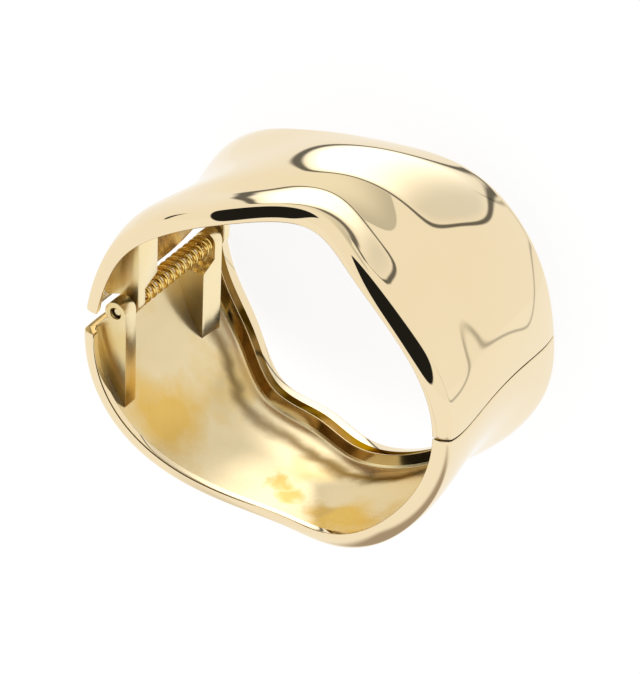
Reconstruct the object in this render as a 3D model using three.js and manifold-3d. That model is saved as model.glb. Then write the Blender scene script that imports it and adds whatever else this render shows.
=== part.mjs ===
// A sprung, hinged cuff bangle in polished cast metal, in millimetres, +Z up.
// It lies on its rear rim on the plane Z = 0, with its axis upright. The wrist goes through along Z.
// The mouth, where the two halves meet, faces +X. The hinge is at -X, and the domed half is at +Y.
// Each half is one casting: a thin wall, a thick lip along each rim, and two lugs for the hinge pin.
import * as THREE from 'three';
import { mergeVertices } from 'three/addons/utils/BufferGeometryUtils.js';
import Module from 'manifold-3d';

const wasm = await Module();
wasm.setup();

// The plain oval that the wall's outside follows before its waves are added.
const OVAL_HALF_X = 32.4;
const OVAL_HALF_Y = 28.7;

// The oval's centre, from an origin on the floor at the middle of the bangle's outline.
const OVAL_CENTRE_X = 0.2;
const OVAL_CENTRE_Y = -1.0;

// Control sections, one every 20 degrees from the mouth: the heights of the two rims; how far the
// outside stands off the plain oval at five places, from the front (upper) rim to the rear one; the
// depth of the furrow behind the front rim; how far that rim's corner is rounded; its lip's width.
const COLUMNS = [
  'front', 'rear', 'lip', 'shoulder', 'waist',
  'hip', 'foot', 'furrow', 'round', 'width',
];
const SECTIONS = [
  [38.5, 0.0, 0.4, 0.3, 0.4, 0.7, -0.8, 0.0, 1.5, 2.4],
  [40.0, 0.0, 0.6, 0.5, 1.0, 0.7, -0.9, 0.1, 3.4, 2.4],
  [41.0, 0.0, 0.8, 1.2, 2.5, 1.9, -0.5, 0.4, 5.0, 2.4],
  [39.1, 0.0, 0.9, 2.2, 3.2, 2.1, -0.8, 0.55, 1.2, 2.4],
  [32.3, 3.5, 0.8, 2.5, 3.0, 1.5, -1.8, 0.5, 1.6, 2.4],
  [39.4, 6.0, 0.4, 1.2, 1.5, 0.8, -1.5, 0.9, 1.6, 2.4],
  [42.2, 6.5, -0.2, 0.5, 0.0, -0.3, -0.6, 0.3, 0.8, 2.4],
  [40.2, 3.0, -1.1, 0.8, -0.6, 0.4, 0.3, 0.0, 1.0, 2.4],
  [37.2, 0.0, 0.1, 0.7, -0.6, 0.8, 1.8, 0.0, 1.2, 2.4],
  [40.4, 0.0, 0.1, 0.0, -0.5, 0.0, 1.4, 0.0, 1.2, 2.4],
  [41.7, 0.0, 0.5, 0.4, -0.4, 0.0, 1.4, 0.0, 1.2, 2.4],
  [41.3, 0.0, 0.8, 0.4, -0.4, 0.0, 1.6, 0.0, 1.2, 2.8],
  [39.5, 8.0, 0.7, 0.3, -0.4, 0.0, 2.4, 0.0, 1.6, 2.8],
  [37.4, 5.0, 0.2, 0.0, -0.4, 0.0, 1.2, 0.0, 1.8, 2.6],
  [37.0, 10.6, 0.1, 0.0, -0.5, 0.0, 1.7, 0.0, 1.8, 2.8],
  [40.4, 11.0, 1.0, 0.8, -0.3, 0.5, 2.6, 0.0, 1.8, 3.2],
  [42.1, 5.0, 1.0, 1.4, 0.4, 1.8, 4.0, 0.0, 1.8, 3.2],
  [39.5, 0.0, 1.0, 1.2, 0.4, 1.4, 3.0, 0.0, 1.8, 2.8],
];
const SWELLS = ['lip', 'shoulder', 'waist', 'hip', 'foot'];
const FURROW_SHARE = 0.22;
const FURROW_WIDTH = 0.07;

// How far the mouth seam wanders round the outside (mm, + towards the domed half), front rim to rear.
const SEAM = [1.1, -0.3, 0.6, 0.4, -0.4];
const SEAM_GAP = 0.3;

// The casting's own thicknesses. Its inside thins from behind the front lip towards the rear, then
// rises in a cove to a flat shelf, which is the top of the wide rear lip and slopes to its edge.
const WALL_FRONT = 1.5;
const WALL_REAR = 1.0;
const THIN_FROM = 0.6;
const FRONT_LIP_DEPTH = 1.5;
const FRONT_FILLET = 0.8;
const FRONT_FILLET_RISE = 0.5;
const FRONT_CORNER_SHARE = 0.8;
const REAR_LIP_WIDTH = 3.6;
const REAR_LIP_DEPTH = 6.2;
const REAR_LIP_EDGE = 5.4;
const REAR_LIP_ROUND = 1.0;
const REAR_RIM_ROUND = 1.2;
const COVE_LENGTH = 4.0;
const COVE_RISE = 0.5;

// The hinge, whose pin stands upright just inside the wall.
const PIN_X = -27.7;
const PIN_Y = 1.3;
const PIN_RADIUS = 0.75;
const PIN_HOLE_RADIUS = 1.05;
const PIN_TOP = 37.4;
const PIN_BOTTOM = 6.6;
const KNUCKLE_RADIUS = 2.0;
const UPPER_END_Y = 1.2;
const LOWER_END_Y = -2.4;

// Each lug is a wide foot along the wall and a thin knuckle round the pin, by their heights.
const LUGS = {
  lower_front: { side: -1, knuckle: [35.0, 38.0], foot: [35.0, 38.0] },
  upper_front: { side: 1, knuckle: [32.4, 34.4], foot: [28.9, 34.4] },
  lower_rear: { side: -1, knuckle: [9.2, 11.4], foot: [9.2, 14.8] },
  upper_rear: { side: 1, knuckle: [6.8, 8.7], foot: [6.8, 8.7] },
};
const LUG_REACH = 16.2;
const LUG_ROOT_DEPTH = 0.7;
const LUG_END_OVERLAP = 0.4;
const FOOT_CLEARANCE = 0.6;

// The spring round the pin, between the thin knuckles.
const SPRING_RADIUS = 1.5;
const SPRING_WIRE_RADIUS = 0.42;
const SPRING_BOTTOM = 12.3;
const SPRING_TOP = 31.5;
const SPRING_TURNS = 12;

// Facets: round each half, round a rim's corner, down the wall's outside and its inside, down a cove,
// along a lug, round a knuckle, and round the spring's coil and its wire.
const STEPS_ROUND = 48;
const STEPS_CORNER = 4;
const STEPS_OUTSIDE = 11;
const STEPS_INSIDE = 5;
const STEPS_COVE = 3;
const STEPS_LUG = 10;
const STEPS_KNUCKLE = 12;
const STEPS_TURN = 12;
const STEPS_WIRE = 6;

const gold = new THREE.MeshStandardMaterial({ color: 0xeed9a8, roughness: 0.08, metalness: 1 });
const springGold = new THREE.MeshStandardMaterial({ color: 0xd9b45e, roughness: 0.25, metalness: 1 });

// A smooth closed curve (a uniform cubic B-spline) through the sections' values of one column.
function roundCurve(name, angle) {
  const column = COLUMNS.indexOf(name);
  const count = SECTIONS.length;
  const place = THREE.MathUtils.euclideanModulo(angle / (2 * Math.PI), 1) * count;
  const row = Math.floor(place);
  const t = place - row;
  const weights = [
    (1 - t) ** 3 / 6,
    (3 * t ** 3 - 6 * t ** 2 + 4) / 6,
    (-3 * t ** 3 + 3 * t ** 2 + 3 * t + 1) / 6,
    t ** 3 / 6,
  ];
  return weights.reduce(
    (sum, weight, k) => sum + weight * SECTIONS[(row + k - 1 + count) % count][column], 0);
}

// The quartic through five evenly spaced values, at share 0 (front rim) to 1 (rear rim).
function quartic(values, share) {
  return values.reduce((sum, value, k) => {
    const weight = values.reduce(
      (product, _, j) => (j === k ? product : product * (4 * share - j) / (k - j)), 1);
    return sum + weight * value;
  }, 0);
}

// The radius of the wall's outside at an angle and a share of the way from front rim to rear rim.
function outsideRadius(angle, share) {
  const plain = 1 / Math.hypot(Math.cos(angle) / OVAL_HALF_X, Math.sin(angle) / OVAL_HALF_Y);
  const off = ((share - FURROW_SHARE) / FURROW_WIDTH) ** 2 / 2;
  const furrow = roundCurve('furrow', angle) * Math.exp(-off);
  return plain + quartic(SWELLS.map((name) => roundCurve(name, angle)), share) - furrow;
}

// The sine and cosine of a share of a quarter turn.
function quarter(share) {
  const turn = share * (Math.PI / 2);
  return [Math.sin(turn), Math.cos(turn)];
}

// The front rim's section, from the outside round to the fillet behind its lip. A point is so far from
// the rim (edge, plus rounding times the section's own), and so deep under the outside (depth, plus
// widening times the section's own lip width).
function frontRim() {
  const points = [];
  for (let i = 0; i <= STEPS_CORNER; i += 1) {
    const [away, deeper] = quarter(i / STEPS_CORNER);
    const widening = FRONT_CORNER_SHARE * (1 - deeper);
    points.push({ edge: 0, rounding: 1 - away, depth: 0, widening });
  }
  points.push({ edge: 0, rounding: 0, depth: 0, widening: 1 });
  points.push({ edge: FRONT_LIP_DEPTH, rounding: 0, depth: 0, widening: 1 });
  const rise = WALL_FRONT + FRONT_FILLET_RISE;
  points.push({ edge: FRONT_LIP_DEPTH, rounding: 0, depth: rise, widening: 0 });
  points.push({ edge: FRONT_LIP_DEPTH + FRONT_FILLET, rounding: 0, depth: WALL_FRONT, widening: 0 });
  return points.map((point) => ({ ...point, rim: 'front' }));
}

// The rear rim's section in the same way, ending with the shelf and the cove behind its wide lip.
function rearRim() {
  const points = [];
  for (let i = 0; i <= STEPS_CORNER; i += 1) {
    const [away, deeper] = quarter(i / STEPS_CORNER);
    points.push({ edge: REAR_RIM_ROUND * (1 - away), depth: REAR_RIM_ROUND * (1 - deeper) });
  }
  for (let i = 0; i <= STEPS_CORNER / 2; i += 1) {
    const [deeper, away] = quarter(i / (STEPS_CORNER / 2));
    points.push({
      edge: REAR_LIP_ROUND * (1 - away),
      depth: REAR_LIP_WIDTH - REAR_LIP_ROUND * (1 - deeper),
    });
  }
  points.push({ edge: REAR_LIP_EDGE, depth: REAR_LIP_WIDTH });
  for (let i = 0; i <= STEPS_COVE; i += 1) {
    const [deeper, away] = quarter(i / STEPS_COVE);
    points.push({
      edge: REAR_LIP_DEPTH + COVE_LENGTH * (1 - away),
      depth: WALL_REAR + COVE_RISE * (1 - deeper),
    });
  }
  return points.map((point) => ({ ...point, rounding: 0, widening: 0, rim: 'rear' }));
}

// The wall between the rims: points at a share of the way from the one rim's last point to the other's.
function wallPoints(inside) {
  const steps = inside ? STEPS_INSIDE : STEPS_OUTSIDE;
  const points = [];
  for (let i = 1; i < steps; i += 1) {
    const share = i / steps;
    const t = Math.min(share / THIN_FROM, 1);
    const depth = THREE.MathUtils.lerp(WALL_FRONT, WALL_REAR, t * t * (3 - 2 * t));
    points.push({ share, inside, depth: inside ? depth : 0 });
  }
  return points;
}

// A wall section as a closed loop of points.
function sectionLoop() {
  return [...frontRim(), ...wallPoints(true), ...rearRim().reverse(), ...wallPoints(false).reverse()];
}

// The height, share and radius of a loop point at an angle.
function placed(point, angle) {
  const front = roundCurve('front', angle);
  const height = front - roundCurve('rear', angle);
  let share;
  let { depth } = point;
  if (point.rim) {
    const edge = point.edge + point.rounding * roundCurve('round', angle);
    share = (point.rim === 'front' ? edge : height - edge) / height;
    depth += point.widening * roundCurve('width', angle);
  } else {
    const start = point.inside ? FRONT_LIP_DEPTH + FRONT_FILLET : roundCurve('round', angle);
    const end = height - (point.inside ? REAR_LIP_DEPTH + COVE_LENGTH : REAR_RIM_ROUND);
    share = THREE.MathUtils.lerp(start, end, point.share) / height;
  }
  return { share, z: front - share * height, radius: outsideRadius(angle, share) - depth };
}

// The angle where a half stops at the hinge: its end is flat, at a constant Y.
function hingeAngle(point, endY) {
  let angle = Math.PI;
  for (let i = 0; i < 4; i += 1) {
    angle = Math.PI - Math.asin(endY / placed(point, angle).radius);
  }
  return angle;
}

// The angle of the seam at a loop point, moved round by half the gap to the side that is asked for.
function seamAngle(point, side) {
  const { share } = placed(point, 0);
  return (quartic(SEAM, share) + side * SEAM_GAP / 2) / outsideRadius(0, share);
}

// One half's wall: the section swept from the seam to the hinge, closed with a cap at each end.
function halfWall(side) {
  const loop = sectionLoop();
  const ends = loop.map((point) => {
    const seam = seamAngle(point, side);
    const hinge = hingeAngle(point, side > 0 ? UPPER_END_Y : LOWER_END_Y);
    return side > 0 ? [seam, hinge] : [hinge, seam + 2 * Math.PI];
  });
  const positions = [];
  for (let i = 0; i <= STEPS_ROUND; i += 1) {
    loop.forEach((point, k) => {
      const angle = THREE.MathUtils.lerp(ends[k][0], ends[k][1], i / STEPS_ROUND);
      const { z, radius } = placed(point, angle);
      positions.push(radius * Math.cos(angle), radius * Math.sin(angle), z);
    });
  }
  const count = loop.length;
  const triangles = [];
  for (let i = 0; i < STEPS_ROUND; i += 1) {
    for (let k = 0; k < count; k += 1) {
      const a = i * count + k;
      const b = i * count + ((k + 1) % count);
      triangles.push(a, b + count, b, a, a + count, b + count);
    }
  }
  const flat = loop.map((point) => {
    const { z, radius } = placed(point, 0);
    return new THREE.Vector2(radius, z);
  });
  const last = STEPS_ROUND * count;
  for (const [a, b, c] of THREE.ShapeUtils.triangulateShape(flat, [])) {
    triangles.push(a, b, c);
    triangles.push(last + a, last + c, last + b);
  }
  return solidFrom(positions, triangles);
}

// A manifold solid from plain positions and triangles.
function solidFrom(positions, triangles) {
  const geometry = new THREE.BufferGeometry();
  geometry.setAttribute('position', new THREE.Float32BufferAttribute(positions, 3));
  geometry.setIndex(triangles);
  return solidOf(geometry);
}

function solidOf(geometry) {
  const bare = geometry.clone();
  bare.deleteAttribute('normal');
  bare.deleteAttribute('uv');
  const merged = mergeVertices(bare, 1e-5);
  const triVerts = new Uint32Array(merged.index.array);
  const vertProperties = new Float32Array(merged.attributes.position.array);
  return new wasm.Manifold(new wasm.Mesh({ numProp: 3, vertProperties, triVerts }));
}

function geometryOf(solid) {
  const mesh = solid.getMesh();
  const geometry = new THREE.BufferGeometry();
  geometry.setAttribute('position', new THREE.BufferAttribute(mesh.vertProperties, 3));
  geometry.setIndex(new THREE.BufferAttribute(mesh.triVerts, 1));
  return geometry;
}

// A flat outline raised from one height to another.
function raised(shape, [bottom, top]) {
  const options = { depth: top - bottom, bevelEnabled: false, curveSegments: STEPS_KNUCKLE };
  return solidOf(new THREE.ExtrudeGeometry(shape, options).translate(0, 0, bottom));
}

function disc(radius) {
  const shape = new THREE.Shape();
  shape.absarc(PIN_X, PIN_Y, radius, 0, 2 * Math.PI);
  return shape;
}

// A lug's outline seen along the pin: the straight inner face, tangent to the knuckle, runs along the
// wall until it meets it, and the back of the outline lies within the wall.
function lugOutline(side, height) {
  const innerX = PIN_X + KNUCKLE_RADIUS;
  const endY = (side > 0 ? UPPER_END_Y : LOWER_END_Y) + side * LUG_END_OVERLAP;
  const farY = side * LUG_REACH;
  const points = [new THREE.Vector2(innerX, PIN_Y), new THREE.Vector2(innerX, farY)];
  for (let i = 0; i <= STEPS_LUG; i += 1) {
    const y = THREE.MathUtils.lerp(farY, endY, i / STEPS_LUG);
    const angle = Math.PI - Math.asin(y / OVAL_HALF_X);
    const front = roundCurve('front', angle);
    const share = (front - height) / (front - roundCurve('rear', angle));
    const radius = outsideRadius(angle, THREE.MathUtils.clamp(share, 0, 1)) - LUG_ROOT_DEPTH;
    points.push(new THREE.Vector2(radius * Math.cos(angle), radius * Math.sin(angle)));
  }
  const corner = KNUCKLE_RADIUS * Math.SQRT1_2;
  points.push(new THREE.Vector2(PIN_X - corner, PIN_Y + side * corner));
  return new THREE.Shape(side > 0 ? points.reverse() : points);
}

// A lug: its foot stops short of the other half's knuckle, and its own thin knuckle goes round the pin.
function lug({ side, knuckle, foot }) {
  const outline = lugOutline(side, (foot[0] + foot[1]) / 2);
  const clear = PIN_Y + side * (KNUCKLE_RADIUS + FOOT_CLEARANCE);
  const beyond = new THREE.BoxGeometry(2 * OVAL_HALF_X, 2 * OVAL_HALF_Y, 2 * foot[1]);
  beyond.translate(-OVAL_HALF_X, clear + side * OVAL_HALF_Y, 0);
  const wide = raised(outline, foot).intersect(solidOf(beyond));
  return raised(outline, knuckle).add(wide).add(raised(disc(KNUCKLE_RADIUS), knuckle));
}

function half(name, side, lugs) {
  let solid = halfWall(side);
  for (const each of lugs) {
    solid = solid.add(lug(each));
    const hole = [each.knuckle[0] - 1, each.knuckle[1] + 1];
    solid = solid.subtract(raised(disc(PIN_HOLE_RADIUS), hole));
  }
  return named(name, geometryOf(solid), gold);
}

function pin() {
  const length = PIN_TOP - PIN_BOTTOM;
  const geometry = new THREE.CylinderGeometry(PIN_RADIUS, PIN_RADIUS, length, 16);
  geometry.rotateX(Math.PI / 2);
  geometry.translate(PIN_X, PIN_Y, (PIN_TOP + PIN_BOTTOM) / 2);
  return named('hinge_pin', geometry, gold);
}

// The spring's wire as a helix, closed with a fan at each end.
function spring() {
  const steps = SPRING_TURNS * STEPS_TURN;
  const positions = [];
  const rise = (SPRING_TOP - SPRING_BOTTOM) / steps;
  for (let i = 0; i <= steps; i += 1) {
    const turn = (i / STEPS_TURN) * 2 * Math.PI;
    for (let k = 0; k < STEPS_WIRE; k += 1) {
      const round = (k / STEPS_WIRE) * 2 * Math.PI;
      const reach = SPRING_RADIUS + SPRING_WIRE_RADIUS * Math.cos(round);
      positions.push(PIN_X + reach * Math.cos(turn), PIN_Y + reach * Math.sin(turn));
      positions.push(SPRING_BOTTOM + i * rise + SPRING_WIRE_RADIUS * Math.sin(round));
    }
  }
  const triangles = [];
  for (let i = 0; i < steps; i += 1) {
    for (let k = 0; k < STEPS_WIRE; k += 1) {
      const a = i * STEPS_WIRE + k;
      const b = i * STEPS_WIRE + ((k + 1) % STEPS_WIRE);
      triangles.push(a, b + STEPS_WIRE, b, a, a + STEPS_WIRE, b + STEPS_WIRE);
    }
  }
  const last = steps * STEPS_WIRE;
  for (let k = 1; k < STEPS_WIRE - 1; k += 1) {
    triangles.push(0, k, k + 1);
    triangles.push(last, last + k + 1, last + k);
  }
  return named('spring', geometryOf(solidFrom(positions, triangles)), springGold);
}

function named(name, geometry, material) {
  const mesh = new THREE.Mesh(geometry, material);
  mesh.name = name;
  return mesh;
}

const bangle = new THREE.Group();
bangle.name = 'bangle';
bangle.position.set(OVAL_CENTRE_X, OVAL_CENTRE_Y, 0);
bangle.add(half('upper_shell', 1, [LUGS.upper_front, LUGS.upper_rear]));
bangle.add(half('lower_shell', -1, [LUGS.lower_front, LUGS.lower_rear]));
bangle.add(pin());
bangle.add(spring());

export default bangle;
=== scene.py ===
"""A sprung, hinged cuff bangle in polished pale gold, lying on its rear rim on a white table.

Lengths are in millimetres, from the oval's centre, until place() turns them into the frame's metres.
The wall follows the same section table as the CAD shells, evaluated here on a fine grid, so that the
polished gold reflects smoothly. The studio around it is a light tent, described in studio().
"""
import math

import bmesh
import bpy
import numpy as np
from mathutils import Matrix, Vector


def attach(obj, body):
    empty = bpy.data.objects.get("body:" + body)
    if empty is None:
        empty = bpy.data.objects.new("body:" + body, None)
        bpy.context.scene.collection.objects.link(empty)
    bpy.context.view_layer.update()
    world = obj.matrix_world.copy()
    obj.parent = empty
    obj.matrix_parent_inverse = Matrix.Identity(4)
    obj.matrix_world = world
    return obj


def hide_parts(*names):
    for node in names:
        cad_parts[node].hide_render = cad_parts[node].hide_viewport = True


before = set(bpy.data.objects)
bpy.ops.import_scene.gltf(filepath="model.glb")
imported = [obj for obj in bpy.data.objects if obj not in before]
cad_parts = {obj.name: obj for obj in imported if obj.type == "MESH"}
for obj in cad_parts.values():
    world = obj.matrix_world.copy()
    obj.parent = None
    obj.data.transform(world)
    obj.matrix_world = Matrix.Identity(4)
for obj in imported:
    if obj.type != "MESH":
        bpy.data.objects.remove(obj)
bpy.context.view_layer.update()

MM = 0.001

# The plain oval that the wall's outside follows before its waves are added, and its centre.
OVAL_HALF_X = 32.4
OVAL_HALF_Y = 28.7
OVAL_CENTRE = Vector((0.2, -1.0, 0.0))

# Control sections, one every 20 degrees from the mouth: the heights of the two rims; how far the
# outside stands off the plain oval at five places, from the front (upper) rim to the rear one; the
# depth of the furrow behind the front rim; how far that rim's corner is rounded; its lip's width.
COLUMNS = ("front", "rear", "lip", "shoulder", "waist", "hip", "foot", "furrow", "round", "width")
SECTIONS = (
    (38.5, 0.0, 0.4, 0.3, 0.4, 0.7, -0.8, 0.0, 1.5, 2.4),
    (40.0, 0.0, 0.6, 0.5, 1.0, 0.7, -0.9, 0.1, 3.4, 2.4),
    (41.0, 0.0, 0.8, 1.2, 2.5, 1.9, -0.5, 0.4, 5.0, 2.4),
    (39.1, 0.0, 0.9, 2.2, 3.2, 2.1, -0.8, 0.55, 1.2, 2.4),
    (32.3, 3.5, 0.8, 2.5, 3.0, 1.5, -1.8, 0.5, 1.6, 2.4),
    (39.4, 6.0, 0.4, 1.2, 1.5, 0.8, -1.5, 0.9, 1.6, 2.4),
    (42.2, 6.5, -0.2, 0.5, 0.0, -0.3, -0.6, 0.3, 0.8, 2.4),
    (40.2, 3.0, -1.1, 0.8, -0.6, 0.4, 0.3, 0.0, 1.0, 2.4),
    (37.2, 0.0, 0.1, 0.7, -0.6, 0.8, 1.8, 0.0, 1.2, 2.4),
    (40.4, 0.0, 0.1, 0.0, -0.5, 0.0, 1.4, 0.0, 1.2, 2.4),
    (41.7, 0.0, 0.5, 0.4, -0.4, 0.0, 1.4, 0.0, 1.2, 2.4),
    (41.3, 0.0, 0.8, 0.4, -0.4, 0.0, 1.6, 0.0, 1.2, 2.8),
    (39.5, 8.0, 0.7, 0.3, -0.4, 0.0, 2.4, 0.0, 1.6, 2.8),
    (37.4, 5.0, 0.2, 0.0, -0.4, 0.0, 1.2, 0.0, 1.8, 2.6),
    (37.0, 10.6, 0.1, 0.0, -0.5, 0.0, 1.7, 0.0, 1.8, 2.8),
    (40.4, 11.0, 1.0, 0.8, -0.3, 0.5, 2.6, 0.0, 1.8, 3.2),
    (42.1, 5.0, 1.0, 1.4, 0.4, 1.8, 4.0, 0.0, 1.8, 3.2),
    (39.5, 0.0, 1.0, 1.2, 0.4, 1.4, 3.0, 0.0, 1.8, 2.8),
)
OFFSETS = COLUMNS[2:7]
FURROW_SHARE = 0.22
FURROW_WIDTH = 0.07

# How far the mouth seam wanders round the outside (+ towards the domed half), front rim to rear.
SEAM = (1.1, -0.3, 0.6, 0.4, -0.4)
SEAM_GAP = 0.3

# The casting's own thicknesses. Its inside thins from behind the front lip towards the rear, then
# rises in a cove to the rear lip's shelf, which slopes on down to the lip's inner edge.
WALL_FRONT = 1.5
WALL_REAR = 1.0
THIN_FROM = 0.6
FRONT_LIP_DEPTH = 1.5
FRONT_FILLET = 0.8
FRONT_FILLET_RISE = 0.5
FRONT_CORNER_SHARE = 0.8
REAR_LIP_WIDTH = 3.6
REAR_LIP_DEPTH = 6.2
REAR_LIP_EDGE = 5.4
REAR_LIP_ROUND = 1.0
REAR_RIM_ROUND = 1.2
COVE_LENGTH = 4.0
COVE_RISE = 0.5
LIP_EDGE_ROUND = 0.25
END_ROUND = 0.15

# Where the rear lip's painted shade and highlight lie: how far its plainly polished pale strip goes up
# its inner face before the painted shade starts, and at what share of the way back to the wall the
# painted highlight along its shelf's rim starts.
PALE_STRIP = 3.0
SHELF_RIM = 0.82

# The hinge, whose pin stands upright just inside the wall.
PIN = Vector((-27.7, 1.3, 0.0))
PIN_RADIUS = 0.75
PIN_HOLE_RADIUS = 1.05
PIN_TOP = 37.4
PIN_BOTTOM = 6.6
PIN_CHAMFER = 0.2
KNUCKLE_RADIUS = 2.0
UPPER_END_Y = 1.2
LOWER_END_Y = -2.4

# Each lug, by its heights: a thin knuckle round the pin, and a foot along the wall.
LUGS = {
    "upper": ({"knuckle": (32.4, 34.4), "foot": (28.9, 34.4)},
              {"knuckle": (6.8, 8.7), "foot": (6.8, 8.7)}),
    "lower": ({"knuckle": (35.0, 38.0), "foot": (35.0, 38.0)},
              {"knuckle": (9.2, 11.4), "foot": (9.2, 14.8)}),
}
LUG_REACH = 16.2
LUG_ROOT_DEPTH = 0.7
LUG_END_INSET = 0.4
KNUCKLE_TURN = 225.0
FOOT_CLEARANCE = 0.6
FOOT_SLOPE = 1.4
LUG_EDGE_ROUND = 0.2
# A lug's face is one of its two flat sides if its normal's share along the pin is over this.
FLAT_SIDE = 0.9

# The spring round the pin, between the thin knuckles. Its end turns rise less steeply than the rest.
SPRING_RADIUS = 1.5
SPRING_WIRE_RADIUS = 0.42
SPRING_BOTTOM = 12.3
SPRING_TOP = 31.5
SPRING_TURNS = 12
SPRING_END_TURNS = 0.9
SPRING_END_PITCH = 0.52

# Facets of the fine meshes: round each half, down the wall, and round or along each small feature.
STEPS_ROUND = 190
STEPS_WALL = 56
STEPS_CORNER = 14
STEPS_LIP = 5
STEPS_FILLET = 12
STEPS_END = 3
STEPS_LUG_BACK = 24
STEPS_KNUCKLE = 24
STEPS_PIN = 48
STEPS_SPRING_TURN = 32
STEPS_WIRE = 14

# Two faces of a lug are one where the edge between them turns less than this.
FLATTER_THAN = math.radians(2.0)

# The camera, by its direction from the bangle, its roll, its distance and its lens on its film, and
# how near to it things are still drawn (in metres).
CAMERA_AZIMUTH = math.radians(54.0)
CAMERA_ELEVATION = math.radians(47.0)
CAMERA_ROLL = math.radians(-132.0)
CAMERA_DISTANCE = 428.2
CAMERA_TARGET = Vector((-5.34, -9.86, 10.37))
CAMERA_LENS = 137.2
CAMERA_FILM = 36.0
CAMERA_NEAR = 0.01

# The material slots of the two cast halves.
POLISHED, CAST, REAR_LIP, LUG, LUG_FRONT, SHELF, SHELF_EDGE = range(7)

# What a row of the wall's section is part of.
OUTER, HOLLOW, LIP_FACE, COVE, SHELF_TOP = range(5)


def place(point):
    """A point in the frame's metres, from millimetres off the oval's centre."""
    return (Vector(point) + OVAL_CENTRE) * MM


# ---------------------------------------------------------------- the wall's surface

def round_curve(name, angle):
    """A smooth closed curve (a uniform cubic B-spline) led by the sections' values of one column."""
    values = np.array([row[COLUMNS.index(name)] for row in SECTIONS])
    count = len(values)
    along = np.mod(angle / math.tau, 1.0) * count
    row = np.floor(along).astype(int)
    t = along - row
    weights = ((1 - t) ** 3, 3 * t ** 3 - 6 * t ** 2 + 4, -3 * t ** 3 + 3 * t ** 2 + 3 * t + 1, t ** 3)
    return sum(weight / 6 * values[(row + k - 1) % count] for k, weight in enumerate(weights))


def quartic(values, share):
    """The quartic through five evenly spaced values, at share 0 (front rim) to 1 (rear rim)."""
    total = 0.0
    for k, value in enumerate(values):
        weight = 1.0
        for j in range(len(values)):
            if j != k:
                weight = weight * (4 * share - j) / (k - j)
        total = total + weight * value
    return total


def outside_radius(angle, share):
    """The radius of the wall's outside at an angle and a share of the way from front to rear rim."""
    plain = 1 / np.hypot(np.cos(angle) / OVAL_HALF_X, np.sin(angle) / OVAL_HALF_Y)
    furrow = round_curve("furrow", angle) * np.exp(-((share - FURROW_SHARE) / FURROW_WIDTH) ** 2 / 2)
    return plain + quartic([round_curve(name, angle) for name in OFFSETS], share) - furrow


def rim_points(is_front):
    """One rim's section, from the outside round to its lip's back and the fillet or cove behind it.

    A row is: distance from the rim, share of the corner's own rounding added to that, depth under
    the outside, share of the lip's own width added to that, the direction into the metal as (away
    from the rim, deeper), and what the row is part of.
    """
    rows = []
    edge, rounding = (0.0, 1.0) if is_front else (REAR_RIM_ROUND, 0.0)
    depth, widening = (0.0, FRONT_CORNER_SHARE) if is_front else (REAR_RIM_ROUND, 0.0)
    for i in range(STEPS_CORNER + 1):
        away, deeper = quarter(i / STEPS_CORNER)
        rows.append((edge * (1 - away), rounding * (1 - away), depth * (1 - deeper),
                     widening * (1 - deeper), away, deeper, OUTER))

    widened = 1.0 if is_front else 0.0
    width = 0.0 if is_front else REAR_LIP_WIDTH
    small = LIP_EDGE_ROUND
    near = small if is_front else REAR_LIP_ROUND
    lip_depth = FRONT_LIP_DEPTH if is_front else REAR_LIP_DEPTH
    lip_edge = FRONT_LIP_DEPTH if is_front else REAR_LIP_EDGE
    thickness = WALL_FRONT if is_front else WALL_REAR
    length = FRONT_FILLET if is_front else COVE_LENGTH
    rise = FRONT_FILLET_RISE if is_front else COVE_RISE
    for i in range(STEPS_LIP + 1):
        deeper, away = quarter(i / STEPS_LIP)
        rows.append((near * (1 - away), 0.0, width - near * (1 - deeper), widened,
                     away, -deeper, OUTER))
    if not is_front:
        rows.append((PALE_STRIP, 0.0, width, 0.0, 0.0, -1.0, LIP_FACE))
    for i in range(STEPS_LIP + 1):
        away, deeper = quarter(i / STEPS_LIP)
        part = OUTER if is_front else LIP_FACE if i == 0 else SHELF_TOP
        rows.append((lip_edge - small * (1 - away), 0.0, width - small * (1 - deeper), widened,
                     -away, -deeper, part))
    if not is_front:
        back = lip_edge + SHELF_RIM * (lip_depth - lip_edge)
        deep = width - small + SHELF_RIM * (thickness + rise - width + small)
        rows.append((back, 0.0, deep, 0.0, -1.0, 0.0, SHELF_TOP))
    for i in range(STEPS_FILLET + 1):
        deeper, away = quarter(i / STEPS_FILLET)
        rows.append((lip_depth + length * (1 - away), 0.0, thickness + rise * (1 - deeper), 0.0,
                     -away, -deeper, HOLLOW if is_front else COVE))
    return rows


def quarter(share):
    """The sine and cosine of a share of a quarter turn."""
    turn = share * math.pi / 2
    return math.sin(turn), math.cos(turn)


def section_loop():
    """The wall's closed section, as rows of place and then the rest of rim_points()' row.

    place is 0 or 1 for points at a distance from the front or rear rim, and 0.5 where that distance
    is a share of the height between the rims' own points instead.
    """
    front = [(0.0, *row) for row in rim_points(True)]
    rear = [(1.0, *row) for row in rim_points(False)]
    inside = []
    outside = []
    for i in range(1, STEPS_WALL):
        share = i / STEPS_WALL
        t = min(share / THIN_FROM, 1.0)
        depth = WALL_FRONT + (WALL_REAR - WALL_FRONT) * t * t * (3 - 2 * t)
        inside.append((0.5, share, 0.0, depth, 0.0, 0.0, -1.0, HOLLOW))
        outside.append((0.5, share, 0.0, 0.0, 0.0, 0.0, 1.0, OUTER))
    return np.array(front + inside + rear[::-1] + outside[::-1])


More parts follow.
